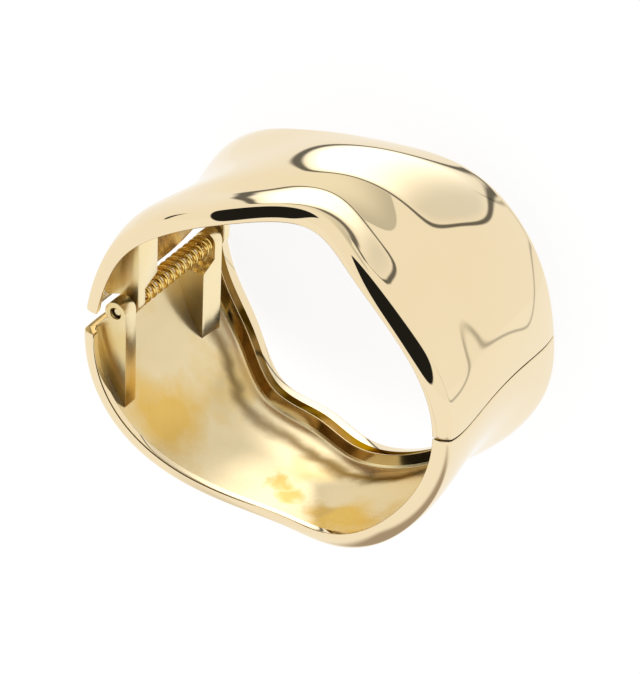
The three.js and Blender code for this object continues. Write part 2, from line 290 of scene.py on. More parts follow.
def wall_points(loop, angle, inset=0.0):
    """Points of the wall for loop rows at angles; inset moves them into the metal."""
    where, edge, rounding, depth, widening, into_edge, into_depth, part = loop.T
    front = round_curve("front", angle)
    rear = round_curve("rear", angle)
    corner = round_curve("round", angle)
    height = front - rear
    wall = where == 0.5
    edge = edge + rounding * corner + np.where(wall, 0.0, into_edge * inset)
    depth = depth + widening * round_curve("width", angle)
    share = np.where(wall, edge, np.where(where == 0.0, edge, height - edge) / height)
    # A wall point's share runs between the two rims' own points.
    start = np.where(part == HOLLOW, FRONT_LIP_DEPTH + FRONT_FILLET, corner)
    end = height - np.where(part == HOLLOW, REAR_LIP_DEPTH + COVE_LENGTH, REAR_RIM_ROUND)
    share = np.where(wall, (start + (end - start) * share) / height, share)
    radius = outside_radius(angle, share) - depth - into_depth * inset
    z = front - share * height
    return np.stack([radius * np.cos(angle), radius * np.sin(angle), z], axis=-1)


def hinge_angles(loop, end_y):
    """The angles where a half stops at the hinge: its end is flat, at a constant Y."""
    angle = np.full(len(loop), math.pi)
    for _ in range(5):
        points = wall_points(loop, angle)
        angle = math.pi - np.arcsin(end_y / np.hypot(points[:, 0], points[:, 1]))
    return angle


def seam_angles(loop, side):
    """The angles of the seam, moved round by half its gap to the side that is asked for."""
    points = wall_points(loop, np.zeros(len(loop)))
    front = round_curve("front", np.array(0.0))
    rear = round_curve("rear", np.array(0.0))
    share = (front - points[:, 2]) / (front - rear)
    radius = outside_radius(np.zeros(len(loop)), share)
    return (quartic(SEAM, share) + side * SEAM_GAP / 2) / radius


def half_wall(side):
    """One half's wall as (points, faces, face slots): the section swept from the seam to the hinge."""
    loop = section_loop()
    seam = seam_angles(loop, side)
    hinge = hinge_angles(loop, UPPER_END_Y if side > 0 else LOWER_END_Y)
    start, end = (seam, hinge) if side > 0 else (hinge, seam + math.tau)
    turns = [math.radians(90 * i / STEPS_END) for i in range(STEPS_END)]
    insets = [END_ROUND * (1 - math.sin(t)) for t in turns]
    steps_in = [END_ROUND * (1 - math.cos(t)) / OVAL_HALF_X for t in turns]
    rings = []
    for inset, step in zip(insets, steps_in):
        rings.append(wall_points(loop, start + step, inset))
    first = END_ROUND / OVAL_HALF_X
    for i in range(STEPS_ROUND + 1):
        angle = start + first + (end - start - 2 * first) * i / STEPS_ROUND
        rings.append(wall_points(loop, angle))
    for inset, step in reversed(list(zip(insets, steps_in))):
        rings.append(wall_points(loop, end - step, inset))
    count = len(loop)
    points = np.concatenate(rings)
    row_slots = row_materials(loop)
    faces = []
    slots = []
    for i in range(len(rings) - 1):
        for k in range(count):
            after = (k + 1) % count
            a, b = i * count + k, i * count + after
            faces.append((a, a + count, b + count, b))
            slots.append(row_slots[k])
    last = (len(rings) - 1) * count
    for cap in cap_faces(loop):
        faces.append(tuple(cap))
        faces.append(tuple(last + k for k in reversed(cap)))
        # The wall's end has painted shade: the rear lip's dark ambers at the seam and the shelf's amber
        # at the hinge.
        slots += [REAR_LIP, SHELF] if side > 0 else [SHELF, REAR_LIP]
    return points, faces, slots


def row_materials(loop):
    """The slot of the strip between each row and the next.

    The hollow and its cove are as cast. The rear lip's inner face and its shelf have their shade painted
    on, and the strip where the shelf meets the cove has a painted highlight; the rest, down to the pale
    strip along the lip's edge, is polished.
    """
    slots = []
    for part, after in zip(loop[:, 7], np.roll(loop[:, 7], -1)):
        # The strip where the shelf meets the cove carries the painted highlight.
        if {part, after} == {SHELF_TOP, COVE}:
            slots.append(SHELF_EDGE)
        elif part == after == SHELF_TOP:
            slots.append(SHELF)
        elif part in (HOLLOW, COVE) or after in (HOLLOW, COVE):
            slots.append(CAST)
        else:
            slots.append(REAR_LIP if part == after == LIP_FACE else POLISHED)
    return slots


def cap_faces(loop):
    """The faces that close the wall's end: a strip between the outside and the inside, and two lips."""
    rim = len(rim_points(True))
    rear_rim = len(rim_points(False))
    wall = STEPS_WALL - 1
    count = len(loop)
    inside = [rim + i for i in range(wall)]
    outside = [count - 1 - i for i in range(wall)]
    front = list(range(rim)) + [inside[0], outside[0]]
    rear = list(range(rim + wall, rim + wall + rear_rim)) + [outside[-1], inside[-1]]
    caps = [front, rear]
    for i in range(wall - 1):
        caps.append([inside[i], inside[i + 1], outside[i + 1], outside[i]])
    return caps


# ---------------------------------------------------------------- meshes

def mesh_object(name, points, faces, slots=None, materials=()):
    """An object in the frame's metres, from millimetres off the oval's centre."""
    mesh = bpy.data.meshes.new(name)
    mesh.from_pydata([place(p) for p in points], [], faces)
    for material in materials:
        mesh.materials.append(material)
    if slots is not None:
        mesh.polygons.foreach_set("material_index", slots)
    obj = bpy.data.objects.new(name, mesh)
    bpy.context.scene.collection.objects.link(obj)
    return obj


def strips(rings, count):
    """The four-sided faces between each ring of points and the next, with count points in a ring."""
    faces = []
    for i in range(rings - 1):
        for k in range(count):
            a, b = i * count + k, i * count + (k + 1) % count
            faces.append((a, b, b + count, a + count))
    return faces


def prism(name, outline, low, high, axis="z"):
    """A closed prism on a flat outline: of (x, y) points along z, or of (y, z) points along x."""
    count = len(outline)
    points = []
    for level in (low, high):
        points += [(a, b, level) if axis == "z" else (level, a, b) for a, b in outline]
    faces = [tuple(reversed(range(count))), tuple(range(count, 2 * count))]
    obj = mesh_object(name, points, faces + strips(2, count))
    fix_normals(obj)
    return obj


def fix_normals(obj):
    bm = bmesh.new()
    bm.from_mesh(obj.data)
    bmesh.ops.recalc_face_normals(bm, faces=bm.faces)
    bm.to_mesh(obj.data)
    bm.free()


def combine(obj, other, operation):
    """Joins, cuts or intersects obj with other, which is used up."""
    modifier = obj.modifiers.new("combine", "BOOLEAN")
    modifier.operation = operation
    modifier.solver = "EXACT"
    modifier.object = other
    modifier.material_mode = "INDEX"
    apply_modifiers(obj)
    bpy.data.objects.remove(other)


def apply_modifiers(obj):
    graph = bpy.context.evaluated_depsgraph_get()
    made = bpy.data.meshes.new_from_object(obj.evaluated_get(graph))
    obj.modifiers.clear()
    old = obj.data
    obj.data = made
    bpy.data.meshes.remove(old)


def round_edges(obj, radius, sharper_than=35.0):
    """Rounds every edge that is sharper than an angle."""
    bm = bmesh.new()
    bm.from_mesh(obj.data)
    bmesh.ops.remove_doubles(bm, verts=bm.verts, dist=1e-7)
    bmesh.ops.dissolve_limit(bm, angle_limit=FLATTER_THAN, verts=bm.verts, edges=bm.edges)
    sharp = [e for e in bm.edges if e.is_manifold and e.calc_face_angle() > math.radians(sharper_than)]
    bmesh.ops.bevel(bm, geom=sharp, offset=radius * MM, segments=3, profile=0.5, affect="EDGES",
                    clamp_overlap=True)
    bm.to_mesh(obj.data)
    bm.free()


def smooth(obj, sharper_than=30.0):
    obj.data.polygons.foreach_set("use_smooth", [True] * len(obj.data.polygons))
    obj.data.set_sharp_from_angle(angle=math.radians(sharper_than))


# ---------------------------------------------------------------- the hinge

def round_pin(radius, turn):
    """The (x, y) place at a radius and a turn round the pin."""
    return PIN.x + radius * math.cos(turn), PIN.y + radius * math.sin(turn)


def lug_outline(side, height):
    """A lug seen along the pin: the knuckle's round, a straight inner face, and its back in the wall."""
    inner_x = PIN.x + KNUCKLE_RADIUS
    end_y = UPPER_END_Y + LUG_END_INSET if side > 0 else LOWER_END_Y - LUG_END_INSET
    outline = []
    for i in range(STEPS_LUG_BACK + 1):
        y = end_y + (side * LUG_REACH - end_y) * i / STEPS_LUG_BACK
        angle = math.pi - math.asin(y / OVAL_HALF_X)
        front = round_curve("front", np.array(angle))
        rear = round_curve("rear", np.array(angle))
        share = min(max((front - height) / (front - rear), 0.0), 1.0)
        radius = outside_radius(np.array(angle), share) - LUG_ROOT_DEPTH
        outline.append((radius * math.cos(angle), radius * math.sin(angle)))
    outline.append((inner_x, side * LUG_REACH))
    for i in range(STEPS_KNUCKLE + 1):
        turn = -math.radians(KNUCKLE_TURN * i / STEPS_KNUCKLE) * side
        outline.append(round_pin(KNUCKLE_RADIUS, turn))
    return outline


def lug(name, side, knuckle, foot):
    """A lug: a tall foot, sloping to a thin knuckle clear of the other half's."""
    low, high = min(knuckle[0], foot[0]), max(knuckle[1], foot[1])
    body = prism(name, lug_outline(side, (low + high) / 2), low, high)
    clear = PIN.y + side * (KNUCKLE_RADIUS + FOOT_CLEARANCE)
    full = clear + side * FOOT_SLOPE
    near = PIN.y - side * 2 * KNUCKLE_RADIUS
    far = side * 2 * LUG_REACH
    profile = [(near, knuckle[0]), (clear, knuckle[0]), (full, foot[0]), (far, foot[0]),
               (far, foot[1]), (full, foot[1]), (clear, knuckle[1]), (near, knuckle[1])]
    profile = [p for k, p in enumerate(profile) if p != profile[k - 1]]
    combine(body, prism("profile", profile, PIN.x - 4 * KNUCKLE_RADIUS, 0.0, axis="x"), "INTERSECT")
    hole = [round_pin(PIN_HOLE_RADIUS, math.tau * i / STEPS_PIN) for i in range(STEPS_PIN)]
    combine(body, prism("hole", hole, low - 1, high + 1), "DIFFERENCE")
    round_edges(body, LUG_EDGE_ROUND)
    return body


def half(name, side, lugs, materials):
    """One cast half: its wall with its two lugs."""
    points, faces, slots = half_wall(side)
    shell = mesh_object(name, points, faces, slots, materials)
    fix_normals(shell)
    for k, row in enumerate(lugs):
        made = lug(f"{name}_lug_{k}", side, **row)
        for material in materials:
            made.data.materials.append(material)
        for face in made.data.polygons:
            face.material_index = LUG_FRONT if abs(face.normal.z) > FLAT_SIDE else LUG
        combine(shell, made, "UNION")
    return shell


def hinge_pin():
    """The pin, turned, with a chamfer at each end."""
    profile = ((PIN_RADIUS - PIN_CHAMFER, PIN_BOTTOM), (PIN_RADIUS, PIN_BOTTOM + PIN_CHAMFER),
               (PIN_RADIUS, PIN_TOP - PIN_CHAMFER), (PIN_RADIUS - PIN_CHAMFER, PIN_TOP))
    points = []
    for radius, height in profile:
        for k in range(STEPS_PIN):
            points.append((*round_pin(radius, math.tau * k / STEPS_PIN), height))
    faces = strips(len(profile), STEPS_PIN)
    for ring in (0, len(profile) - 1):
        middle = len(points)
        points.append((PIN.x, PIN.y, profile[ring][1]))
        for k in range(STEPS_PIN):
            faces.append((middle, ring * STEPS_PIN + k, ring * STEPS_PIN + (k + 1) % STEPS_PIN))
    obj = mesh_object("turned_hinge_pin", points, faces)
    fix_normals(obj)
    return obj


def wire_spring():
    """The spring: a round wire wound round the pin, its end turns closed up."""
    steps = SPRING_TURNS * STEPS_SPRING_TURN
    pitches = []
    for i in range(steps):
        turns = (i + 0.5) / STEPS_SPRING_TURN
        from_end = min(turns, SPRING_TURNS - turns)
        pitches.append(SPRING_END_PITCH if from_end < SPRING_END_TURNS else 1.0)
    heights = [SPRING_BOTTOM]
    for pitch in pitches:
        heights.append(heights[-1] + (SPRING_TOP - SPRING_BOTTOM) * pitch / sum(pitches))
    points = []
    for i, height in enumerate(heights):
        turn = math.tau * i / STEPS_SPRING_TURN
        for k in range(STEPS_WIRE):
            round_wire = math.tau * k / STEPS_WIRE
            reach = SPRING_RADIUS + SPRING_WIRE_RADIUS * math.cos(round_wire)
            points.append((*round_pin(reach, turn), height + SPRING_WIRE_RADIUS * math.sin(round_wire)))
    faces = strips(len(heights), STEPS_WIRE)
    faces.append(tuple(reversed(range(STEPS_WIRE))))
    faces.append(tuple(steps * STEPS_WIRE + k for k in range(STEPS_WIRE)))
    obj = mesh_object("wire_spring", points, faces)
    fix_normals(obj)
    return obj


# ---------------------------------------------------------------- materials

def node(tree, kind, inputs=None, **settings):
    """A new node. Its inputs, by name or number, are values or the sockets that feed them."""
    made = tree.nodes.new(kind)
    for key, value in settings.items():
        setattr(made, key, value)
    for key, value in (inputs or {}).items():
        if isinstance(value, bpy.types.NodeSocket):
            tree.links.new(value, made.inputs[key])
        else:
            made.inputs[key].default_value = value
    return made


def new_material(name):
    material = bpy.data.materials.new(name)
    material.use_nodes = True
    tree = material.node_tree
    shader = tree.nodes["Principled BSDF"]
    shader.inputs["Metallic"].default_value = 1.0
    coordinates = node(tree, "ShaderNodeTexCoord")
    return material, tree, shader, coordinates.outputs["Object"]


def noise(tree, where, scale, detail=3.0):
    made = node(tree, "ShaderNodeTexNoise", {"Vector": where, "Scale": scale, "Detail": detail})
    return made.outputs["Fac"]


def ramp(tree, value, low, high, to_low, to_high):
    made = node(tree, "ShaderNodeMapRange", {"Value": value, "From Min": low, "From Max": high,
                                             "To Min": to_low, "To Max": to_high})
    return made.outputs["Result"]


def maths(tree, operation, *values):
    made = node(tree, "ShaderNodeMath", dict(enumerate(values)), operation=operation)
    return made.outputs[0]


def blend(tree, amount, first, second):
    """A colour between two, by an amount from a socket. Each colour is a socket too, or plain."""
    made = node(tree, "ShaderNodeMix", {0: amount}, data_type="RGBA")
    for socket, colour in zip(made.inputs[6:8], (first, second)):
        if isinstance(colour, bpy.types.NodeSocket):
            tree.links.new(colour, socket)
        else:
            socket.default_value = (*colour, 1.0)
    return made.outputs[2]


def bump(tree, shader, height, distance):
    made = node(tree, "ShaderNodeBump", {"Height": height, "Distance": distance, "Strength": 1.0})
    tree.links.new(made.outputs["Normal"], shader.inputs["Normal"])


# The parts of a noise's range in which a metal's colour and roughness change.
COLOUR_CHANGE = (0.35, 0.65)
ROUGH_CHANGE = (0.3, 0.7)


def patchy_gold(name, scale, first, second, rough, grain=0.0):
    """A metal that varies a little in patches, between two colours and two roughnesses.

    grain is the depth of a fine grain, in metres, on a metal that isn't polished.
    """
    material, tree, shader, where = new_material(name)
    patches = noise(tree, where, scale)
    base = blend(tree, ramp(tree, patches, *COLOUR_CHANGE, 0, 1), first, second)
    tree.links.new(base, shader.inputs["Base Color"])
    tree.links.new(ramp(tree, patches, *ROUGH_CHANGE, *rough), shader.inputs["Roughness"])
    if grain:
        bump(tree, shader, noise(tree, where, GRAIN_SCALE), grain)
    return material


def polished_gold():
    """The mirror-polished outside and rims: pale gold with faint polishing variation."""
    return patchy_gold("polished_gold", scale=60.0, first=(0.90, 0.745, 0.485),
                       second=(0.91, 0.76, 0.50), rough=(0.025, 0.04))


# The cast inside: cream, with large patches of painted gold reflection and smaller ones of a deeper gold
# painted where the lamp is mirrored, each by its middle and how far it reaches. Its tint at a grazing
# angle is CAST_EDGE.
CAST_CREAM = (0.85, 0.71, 0.44)
CAST_TONE_AND_REFLECTION_GOLD = (0.82, 0.55, 0.15)
CAST_TONE_AND_REFLECTION_DEEP = (0.70, 0.47, 0.15)
CAST_EDGE = (0.86, 0.68, 0.40)
PAINTED_REFLECTION_PATCHES = (((-22.0, -19.5, 31.5), 8.0), ((13.0, -25.0, 33.5), 6.0))
PAINTED_DEEP_REFLECTION_PATCHES = (((-2.0, -27.2, 29.0), 2.2), ((1.5, -27.2, 30.6), 2.8), ((8.0, -26.6, 32.0), 3.0))
# The shares of its reach within which a patch is whole, and where it has faded out.
PATCH_WHOLE = 0.5
PATCH_END = 1.2

# Faint clouds of gold lie all over the cast inside, and small flecks of the deeper gold: each one's
# noise scale, and which part of the noise's range becomes how much of the colour.
CLOUD_SCALE = 70.0
CLOUDS = (0.56, 0.72, 0.0, 0.6)
FLECK_SCALE = 400.0
FLECKS = (0.70, 0.85, 0.0, 0.5)

# How metallic and how rough the cast inside is, and the noise scale by which that varies.
CAST_METALLIC = 0.85
CAST_ROUGHNESS = (0.18, 0.27)
CAST_ROUGH_SCALE = 140.0

# How the patches' edges wander: the noise's scale, the width that it moves a point within (in
# metres), and the share of that width for the band below.
WANDER_SCALE = 160.0
WANDER_REACH = 0.012
BAND_WANDER = 0.3

# The fine grain of the metals that aren't polished: its scale, its depths (in metres), and how the
# cast inside's is drawn out upward.
GRAIN_SCALE = 900.0
LUG_GRAIN = 0.000008
CAST_GRAIN = 0.000006
CAST_GRAIN_STRETCH = (1.0, 1.0, 0.25)

# A painted dark reflection: the darker band along the inside of the plain half, above its cove: its half
# width, its colour, and by the share of a turn round the oval, how far it is over the rear rim and how
# strong. Its curves are drawn between 0 and 1, so its heights are given as shares of BAND_HIGHEST, in
# BAND_STEPS.
BAND_HALF_WIDTH = 3.0
PAINTED_DARK_REFLECTION_GOLD = (0.15, 0.085, 0.02)
BAND_HIGHEST = 30.0
BAND_STEPS = 18
BAND = (
    (0.540, 11.0, 0.00),
    (0.575, 10.6, 0.80),
    (0.610, 10.6, 0.80),
    (0.650, 11.4, 0.75),
    (0.720, 11.4, 0.85),
    (0.775, 10.8, 0.95),
    (0.840, 10.6, 0.98),
    (0.900, 10.8, 0.90),
    (0.970, 11.0, 0.30),
)


def along_turn(tree, turn, points):
    """A smooth curve through (turn, value) points, the turn being a share of a whole turn."""
    made = node(tree, "ShaderNodeFloatCurve", {"Value": turn})
    curve = made.mapping.curves[0]
    curve.points[0].location = points[0]
    curve.points[1].location = points[-1]
    for point in points[1:-1]:
        curve.points.new(*point)
    made.mapping.update()
    return made.outputs["Value"]


def painted_dark_reflection_band(tree, where):
    """How much of the painted dark reflection band there is at a point of the plain half's inside."""
    centred = node(tree, "ShaderNodeVectorMath", {0: where, 1: tuple(OVAL_CENTRE * MM)},
                   operation="SUBTRACT")
    parts = node(tree, "ShaderNodeSeparateXYZ", {0: centred.outputs["Vector"]})
    around = maths(tree, "ARCTAN2", parts.outputs["Y"], parts.outputs["X"])
    turn = maths(tree, "MULTIPLY_ADD", around, 1 / math.tau, 1.0)
    turns, over_rim, strength = zip(*BAND)
    heights = []
    for each in np.linspace(0.5, 1.0, BAND_STEPS + 1):
        middle = round_curve("rear", each * math.tau) + np.interp(each, turns, over_rim)
        heights.append((each, float(middle) / BAND_HIGHEST))
    height = maths(tree, "MULTIPLY", parts.outputs["Z"], 1 / (BAND_HIGHEST * MM))
    off = maths(tree, "ABSOLUTE", maths(tree, "SUBTRACT", height, along_turn(tree, turn, heights)))
    near = node(tree, "ShaderNodeMapRange", {"Value": off, "From Min": 0.0, "To Min": 1.0, "To Max": 0.0,
                                             "From Max": BAND_HALF_WIDTH / BAND_HIGHEST},
                interpolation_type="SMOOTHSTEP").outputs["Result"]
    return maths(tree, "MULTIPLY", near, along_turn(tree, turn, tuple(zip(turns, strength))))


def spread(tree, where, patches, amount):
    """An amount raised to 1 inside round patches, each a centre off the oval's and a reach."""
    for centre, reach in patches:
        away = node(tree, "ShaderNodeVectorMath", {0: where, 1: tuple(place(centre))},
                    operation="DISTANCE").outputs["Value"]
        near = ramp(tree, away, PATCH_WHOLE * reach * MM, PATCH_END * reach * MM, 1, 0)
        amount = maths(tree, "MAXIMUM", amount, near)
    return amount


def wandering(tree, where, reach):
    """A place moved a little by noise, so that what is drawn there gets an uneven edge."""
    wander = node(tree, "ShaderNodeTexNoise", {"Vector": where, "Scale": WANDER_SCALE, "Detail": 5.0})
    wander = node(tree, "ShaderNodeVectorMath", {0: wander.outputs["Color"], 1: (0.5, 0.5, 0.5)},
                  operation="SUBTRACT")
    wander = node(tree, "ShaderNodeVectorMath", {0: wander.outputs["Vector"], "Scale": reach},
                  operation="SCALE")
    moved = node(tree, "ShaderNodeVectorMath", {0: where, 1: wander.outputs["Vector"]}, operation="ADD")
    return moved.outputs["Vector"]


def cast_gold():
    """The cast inside: plated but not polished, so it is softer, with painted gold reflections in
    patches and a painted dark reflection band above the cove.
    """
    material, tree, shader, where = new_material("cast_gold")
    moved = wandering(tree, where, WANDER_REACH)
    clouds = ramp(tree, noise(tree, where, CLOUD_SCALE, detail=4.0), *CLOUDS)
    # Painted reflections: gold patches over the random clouds, then a deeper gold painted where the lamp
    # is mirrored, over the random flecks.
    base = blend(tree, spread(tree, moved, PAINTED_REFLECTION_PATCHES, clouds), CAST_CREAM, CAST_TONE_AND_REFLECTION_GOLD)
    flecks = ramp(tree, noise(tree, where, FLECK_SCALE, detail=4.0), *FLECKS)
    base = blend(tree, spread(tree, moved, PAINTED_DEEP_REFLECTION_PATCHES, flecks), base, CAST_TONE_AND_REFLECTION_DEEP)
    # A painted dark reflection: the band along the cove.
    band = painted_dark_reflection_band(tree, wandering(tree, where, BAND_WANDER * WANDER_REACH))
    tree.links.new(blend(tree, band, base, PAINTED_DARK_REFLECTION_GOLD), shader.inputs["Base Color"])
    shader.inputs["Metallic"].default_value = CAST_METALLIC
    shader.inputs["Specular Tint"].default_value = (*CAST_EDGE, 1.0)
    softness = noise(tree, where, CAST_ROUGH_SCALE, detail=4.0)
    rough = ramp(tree, softness, *ROUGH_CHANGE, *CAST_ROUGHNESS)
    tree.links.new(rough, shader.inputs["Roughness"])
    stretched = node(tree, "ShaderNodeMapping", {"Vector": where, "Scale": CAST_GRAIN_STRETCH})
    grain = noise(tree, stretched.outputs["Vector"], GRAIN_SCALE, detail=5.0)
    bump(tree, shader, grain, CAST_GRAIN)
    return material


# The rear lip's inner face, whose shade is painted on: how rough it is, its noise's scale, its three
# painted-shade ambers with the parts of the noise's range in which the second and the third come in,
# and its tint at a grazing angle.
LIP_ROUGHNESS = 0.08
LIP_SCALE = 85.0
LIP_DARK = (0.045, 0.024, 0.006)
LIP_AMBER = (0.25, 0.145, 0.045)
LIP_AMBER_IN = (0.44, 0.54)
LIP_WARM = (0.38, 0.26, 0.12)
LIP_WARM_IN = (0.60, 0.70)
LIP_EDGE = (0.60, 0.46, 0.24)


def rear_lip_painted_shade_gold():
    """The rear lip's inner face: polished, with its shade painted on as patches of three dark ambers."""
    material, tree, shader, where = new_material("rear_lip_painted_shade_gold")
    patches = noise(tree, where, LIP_SCALE, detail=2.0)
    base = blend(tree, ramp(tree, patches, *LIP_AMBER_IN, 0, 1), LIP_DARK, LIP_AMBER)
    base = blend(tree, ramp(tree, patches, *LIP_WARM_IN, 0, 1), base, LIP_WARM)
    tree.links.new(base, shader.inputs["Base Color"])
    shader.inputs["Roughness"].default_value = LIP_ROUGHNESS
    shader.inputs["Specular Tint"].default_value = (*LIP_EDGE, 1.0)
    return material


def shelf_painted_shade_gold():
    """The sloping top of the rear lip: polished, with painted shade in a deeper amber than the outside.
    """
    return patchy_gold("shelf_painted_shade_gold", scale=90.0, first=(0.42, 0.26, 0.07),
                       second=(0.62, 0.45, 0.19), rough=(0.10, 0.16))


def shelf_edge_painted_highlight_gold():
    """The rim between the shelf and the cove: a painted highlight, bright yellow."""
    return patchy_gold("shelf_edge_painted_highlight_gold", scale=120.0, first=(0.95, 0.79, 0.40),
                       second=(0.97, 0.86, 0.55), rough=(0.30, 0.40))


def lug_gold():
    """The lugs' narrow faces: plated pale gold, softer than the outside."""
    return patchy_gold("lug_gold", scale=130.0, first=(0.96, 0.80, 0.47),
                       second=(0.97, 0.83, 0.53), rough=(0.20, 0.28), grain=LUG_GRAIN)


def lug_front_gold():
    """The lugs' flat sides: filed, so they are softer and yellower."""
    return patchy_gold("lug_front_gold", scale=130.0, first=(0.82, 0.64, 0.30),
                       second=(0.89, 0.74, 0.43), rough=(0.28, 0.36), grain=LUG_GRAIN)


# The spring's wire: its noise's scale, its two golds and how rough it is.
SPRING_SCALE = 300.0
SPRING_DEEP = (1.0, 0.68, 0.17)
SPRING_PALE = (1.0, 0.80, 0.33)
SPRING_ROUGHNESS = (0.14, 0.24)


def spring_gold():
    """The spring's drawn wire: the yellowest metal."""
    material, tree, shader, where = new_material("drawn_spring_gold")
    patches = noise(tree, where, SPRING_SCALE)
    base = blend(tree, patches, SPRING_DEEP, SPRING_PALE)
    tree.links.new(base, shader.inputs["Base Color"])
    rough = ramp(tree, patches, *ROUGH_CHANGE, *SPRING_ROUGHNESS)
    tree.links.new(rough, shader.inputs["Roughness"])
    return material


# ---------------------------------------------------------------- the studio

# The table under the bangle: its radius and how far it lies below the rim, in metres, then its
# cloth's colour and roughness and how bright that is by itself.
TABLE_RADIUS = 3.0
TABLE_DROP = 0.00002
TABLE_CLOTH = (0.17, 0.17, 0.17)
TABLE_ROUGHNESS = 0.9
TABLE_GLOW = 0.86

# The tent's panels. A corner is a direction as seen from the bangle, in degrees: to the right of the
# main view, and round from its front (0) by way of its top (90) to its back (180). The lamp has a
# dark frame, the card is pale grey, the flags are black and the backdrop is brown. The hem of the
# table's cloth is a fine line that bends at its corners and doesn't close.
LAMP = ((-7, 147), (47, 138), (46, 84), (-7, 97))
CARD = ((-14, 99), (22, 90), (27, 56), (-10, 66))
FRONT_FLAG = ((-30, 46), (84, 50), (84, -20), (40, -44), (-18, -50), (-30, -35))
SIDE_FLAG = ((-44, 80), (-44, 112), (-78, 112), (-78, 80))
BACKDROP = ((-34, -74), (48, -74), (48, -148), (-20, -152))
HEM = ((47, 160), (54, -172), (68, -166), (84, 130))

# How round each one's corners are, and how far inside its edge it has faded in. The front flag
# fades in from a little outside its edge to a little inside.
LAMP_ROUND = 0.3
LAMP_SOFT = 0.08
CARD_ROUND = 0.02
CARD_SOFT = 0.015
FRONT_FLAG_ROUND = 0.2
FRONT_FLAG_FADE = (0.02, -0.01)
SIDE_FLAG_ROUND = 0.05
SIDE_FLAG_SOFT = 0.05
BACKDROP_ROUND = 0.15
BACKDROP_SOFT = 0.3
HEM_ROUND = 0.06

# The two lines' half widths, how far they darken what is behind them, and the share of the frame's
# that is solid.
FRAME_WIDTH = 0.022
FRAME_CORE = 0.3
FRAME_DARKNESS = 0.85
HEM_WIDTH = 0.012
HEM_DARKNESS = 0.5

# The hem fades in between these shares of a direction to the right, and between these backward.
HEM_RIGHT = (0.2, 0.5)
HEM_BACK = (0.1, -0.2)

# How bright the lamp and the card are at the left and at the right, and the shares of a direction to
# the right between which that changes.
LAMP_GLOW = (2.0, 0.82)
LAMP_CHANGE = (0.1, 0.62)
CARD_GLOW = (0.97, 0.61)
CARD_CHANGE = (-0.07, 0.41)

# What the gold mirrors: the tent, and the table below it. They meet where a direction's share along
# this (right, up, backward) direction of the main view falls to its level and a little less.
TENT = (0.97, 0.955, 0.93)
MIRRORED_TABLE = (0.99, 0.985, 0.98)
TABLE_UPWARD = (0.16, 0.89, 0.42)
TABLE_LEVEL = -0.07
TABLE_FADE = 0.02
CARD_COLOUR = (1.0, 0.99, 0.93)
BACKDROP_COLOUR = (0.42, 0.36, 0.32)
DARK = (0.015, 0.015, 0.015)
WHITE = (1.0, 1.0, 1.0)

# How bright the tent is for everything but a mirror image.
DAYLIGHT = 1.06


def camera_axes():
    """The camera's own right, up and backward directions."""
    azimuth, elevation, roll = CAMERA_AZIMUTH, CAMERA_ELEVATION, CAMERA_ROLL
    backward = Vector((math.cos(azimuth) * math.cos(elevation), math.sin(azimuth) * math.cos(elevation),
                       math.sin(elevation)))
    level = Vector((-math.sin(azimuth), math.cos(azimuth), 0.0))
    upright = backward.cross(level)
    right = math.cos(roll) * level + math.sin(roll) * upright
    return right, backward.cross(right), backward


def add_camera():
    data = bpy.data.cameras.new("camera")
    data.lens = CAMERA_LENS
    data.sensor_width = CAMERA_FILM
    data.clip_start = CAMERA_NEAR
    camera = bpy.data.objects.new("camera", data)
    bpy.context.scene.collection.objects.link(camera)
    right, up, backward = camera_axes()
    turned = Matrix((right, up, backward)).transposed().to_4x4()
    camera.matrix_world = Matrix.Translation(place(CAMERA_TARGET + backward * CAMERA_DISTANCE)) @ turned
    bpy.context.scene.camera = camera


def table_white():
    """The table's cloth, which glows by itself, so that only a faint shadow lies on it."""
    material = bpy.data.materials.new("table_white")
    material.use_nodes = True
    shader = material.node_tree.nodes["Principled BSDF"]
    shader.inputs["Base Color"].default_value = (*TABLE_CLOTH, 1.0)
    shader.inputs["Emission Color"].default_value = (*WHITE, 1.0)
    shader.inputs["Emission Strength"].default_value = TABLE_GLOW
    shader.inputs["Roughness"].default_value = TABLE_ROUGHNESS
    shader.inputs["Specular IOR Level"].default_value = 0.0
    return material


def add_floor():
    """A wide white table, which the gold doesn't reflect: below it, the tent goes on."""
    bm = bmesh.new()
    bmesh.ops.create_circle(bm, cap_ends=True, radius=TABLE_RADIUS, segments=96)
    mesh = bpy.data.meshes.new("table")
    bm.to_mesh(mesh)
    bm.free()
    floor = bpy.data.objects.new("table", mesh)
    floor.location.z = -TABLE_DROP
    bpy.context.scene.collection.objects.link(floor)
    mesh.materials.append(table_white())
    floor.visible_glossy = False


